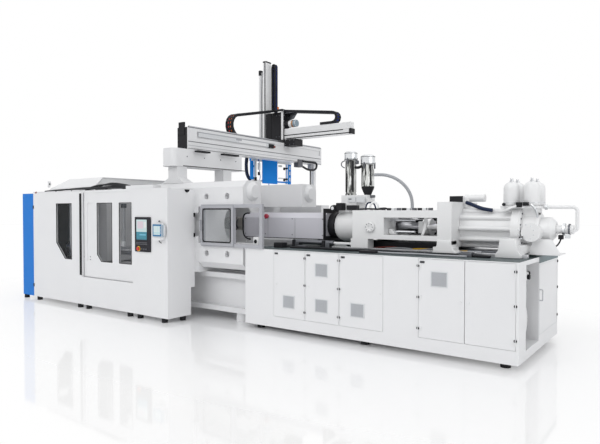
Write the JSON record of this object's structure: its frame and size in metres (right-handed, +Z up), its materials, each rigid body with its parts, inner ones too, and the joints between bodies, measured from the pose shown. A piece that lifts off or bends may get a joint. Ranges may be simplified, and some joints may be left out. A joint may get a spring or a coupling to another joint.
{
  "type": "injection moulding machine",
  "caption": "Large two-platen injection moulding machine: guarded clamp, long injection unit on a switchgear base and a linear take-out robot on the fixed platen.",
  "frame": {"origin": "floor, in the middle of the part's own box", "axes": "+X along the machine from the clamp to the drive end, +Y away from the operator, +Z up"},
  "size_m": [11.206, 5.71, 5.67],
  "materials": {
    "panel_paint": "semi-gloss light grey powder coat",
    "corner_blue": "semi-gloss blue powder coat",
    "casting_paint": "painted light grey",
    "unit_paint": "painted white",
    "frame_grey": "satin grey",
    "bright_steel": "ground",
    "clear_pane": "clear",
    "station_dark": "satin black",
    "button_red": "gloss red",
    "light_sheet": "satin grey sheet",
    "hose_grey": "ribbed grey plastic",
    "chain_black": "black plastic links",
    "arm_aluminium": "anodised profile",
    "feeder_steel": "polished"
  },
  "bodies": {
    "machine": {"side_window_pane": "clear_pane", "front_panels": "panel_paint", "rear_panels": "panel_paint", "door_tracks": "panel_paint", "corner_panel": "corner_blue", "end_panels": "panel_paint", "roof_hood": "panel_paint", "clamp_bed": "casting_paint", "fixed_platen": "casting_paint", "tie_bars": "bright_steel", "clamp_cylinders": "casting_paint", "control_panel": "station_dark", "robot_pendant": "station_dark", "nozzle_guard": "frame_grey", "machine_base": "panel_paint", "guide_rails": "bright_steel", "pull_cylinders": "unit_paint", "rear_cabinet": "panel_paint", "robot_console": "panel_paint", "traverse_beam": "panel_paint", "beam_cable": "chain_black"},
    "front_door": {"front_door": "panel_paint", "front_door_panes": "clear_pane"},
    "rear_door": {"rear_door": "panel_paint"},
    "moving_platen": {"moving_platen": "casting_paint"},
    "ejector": {"ejector": "bright_steel"},
    "lock_collar_1": {"lock_collar_1": "bright_steel"},
    "lock_collar_2": {"lock_collar_2": "bright_steel"},
    "lock_collar_3": {"lock_collar_3": "bright_steel"},
    "lock_collar_4": {"lock_collar_4": "bright_steel"},
    "stop_button": {"stop_button": "button_red"},
    "nozzle_gate": {"nozzle_gate": "frame_grey", "nozzle_gate_pane": "clear_pane"},
    "cabinet_door_1": {"cabinet_door_1": "panel_paint"},
    "cabinet_door_2": {"cabinet_door_2": "panel_paint"},
    "cabinet_door_3": {"cabinet_door_3": "panel_paint"},
    "cabinet_door_4": {"cabinet_door_4": "panel_paint"},
    "cabinet_door_5": {"cabinet_door_5": "panel_paint"},
    "injection_unit": {"injection_frame": "unit_paint", "barrel": "bright_steel", "heater_bands": "bright_steel", "barrel_flange": "unit_paint", "barrel_cover": "light_sheet", "injection_cylinder": "unit_paint", "drive_housing": "unit_paint", "accumulators": "unit_paint", "return_pipe": "bright_steel", "feeder_base": "unit_paint", "feeder_tall": "feeder_steel", "feeder_short": "feeder_steel", "suction_hose": "hose_grey"},
    "crosshead": {"crosshead": "unit_paint"},
    "screw": {"screw": "bright_steel"},
    "robot_traverse": {"traverse_carriage": "frame_grey", "chain_traverse": "chain_black", "chain_strip": "chain_black"},
    "robot_strip": {"strip_beam": "arm_aluminium", "chain_arm": "chain_black"},
    "robot_arm": {"robot_arm": "arm_aluminium"},
    "gripper": {"gripper": "arm_aluminium"}
  },
  "joints": [
    {"name": "front_door_slide", "type": "slide", "parent": "machine", "child": "front_door", "axis": [-1, 0, 0], "range_m": [0, 1.5]},
    {"name": "rear_door_slide", "type": "slide", "parent": "machine", "child": "rear_door", "axis": [-1, 0, 0], "range_m": [0, 1.5]},
    {"name": "clamp_stroke", "type": "slide", "parent": "machine", "child": "moving_platen", "axis": [1, 0, 0], "range_m": [0, 0.74]},
    {"name": "ejector_stroke", "type": "slide", "parent": "moving_platen", "child": "ejector", "axis": [1, 0, 0], "range_m": [0, 0.25]},
    {"name": "lock_turn_1", "type": "hinge", "parent": "moving_platen", "child": "lock_collar_1", "pos_m": [-4.24, -1.885, 2.32], "axis": [1, 0, 0], "range_deg": [0, 45]},
    {"name": "lock_turn_2", "type": "hinge", "parent": "moving_platen", "child": "lock_collar_2", "pos_m": [-4.24, -0.185, 2.32], "axis": [1, 0, 0], "range_deg": [0, 45]},
    {"name": "lock_turn_3", "type": "hinge", "parent": "moving_platen", "child": "lock_collar_3", "pos_m": [-4.24, -1.885, 1.14], "axis": [1, 0, 0], "range_deg": [0, 45]},
    {"name": "lock_turn_4", "type": "hinge", "parent": "moving_platen", "child": "lock_collar_4", "pos_m": [-4.24, -0.185, 1.14], "axis": [1, 0, 0], "range_deg": [0, 45]},
    {"name": "stop_press", "type": "slide", "parent": "machine", "child": "stop_button", "axis": [0, 1, 0], "range_m": [0, 0.006], "stiffness_N_per_m": 400},
    {"name": "nozzle_gate_slide", "type": "slide", "parent": "machine", "child": "nozzle_gate", "axis": [1, 0, 0], "range_m": [0, 0.56]},
    {"name": "cabinet_hinge_1", "type": "hinge", "parent": "machine", "child": "cabinet_door_1", "pos_m": [1.907, -2.166, 0.8], "axis": [0, 0, 1], "range_deg": [0, 90]},
    {"name": "cabinet_hinge_2", "type": "hinge", "parent": "machine", "child": "cabinet_door_2", "pos_m": [2.53, -2.166, 0.8], "axis": [0, 0, 1], "range_deg": [0, 90]},
    {"name": "cabinet_hinge_3", "type": "hinge", "parent": "machine", "child": "cabinet_door_3", "pos_m": [2.546, -2.166, 0.8], "axis": [0, 0, -1], "range_deg": [0, 90]},
    {"name": "cabinet_hinge_4", "type": "hinge", "parent": "machine", "child": "cabinet_door_4", "pos_m": [3.81, -2.166, 0.8], "axis": [0, 0, -1], "range_deg": [0, 90]},
    {"name": "cabinet_hinge_5", "type": "hinge", "parent": "machine", "child": "cabinet_door_5", "pos_m": [5.086, -2.166, 0.8], "axis": [0, 0, 1], "range_deg": [0, 90]},
    {"name": "unit_advance", "type": "slide", "parent": "machine", "child": "injection_unit", "axis": [-1, 0, 0], "range_m": [0, 0.38]},
    {"name": "screw_stroke", "type": "slide", "parent": "injection_unit", "child": "crosshead", "axis": [1, 0, 0], "range_m": [0, 0.28]},
    {"name": "screw_turn", "type": "hinge", "parent": "crosshead", "child": "screw", "pos_m": [3.4, -1.035, 1.73], "axis": [1, 0, 0], "continuous": true},
    {"name": "robot_traverse", "type": "slide", "parent": "machine", "child": "robot_traverse", "axis": [0, 1, 0], "range_m": [-2.95, 0.9], "deforming": ["chain_traverse"]},
    {"name": "robot_strip", "type": "slide", "parent": "robot_traverse", "child": "robot_strip", "axis": [1, 0, 0], "range_m": [-0.4, 0], "deforming": ["chain_strip"]},
    {"name": "robot_lift", "type": "slide", "parent": "robot_strip", "child": "robot_arm", "axis": [0, 0, 1], "range_m": [-1.25, 0], "deforming": ["chain_arm"]},
    {"name": "gripper_swivel", "type": "hinge", "parent": "robot_arm", "child": "gripper", "pos_m": [-1.825, 1.415, 3.33], "axis": [0, 1, 0], "range_deg": [0, 90]}
  ],
  "couplings": [
    {"joint": "lock_turn_2", "follows": "lock_turn_1", "ratio": 1},
    {"joint": "lock_turn_3", "follows": "lock_turn_1", "ratio": 1},
    {"joint": "lock_turn_4", "follows": "lock_turn_1", "ratio": 1}
  ]
}
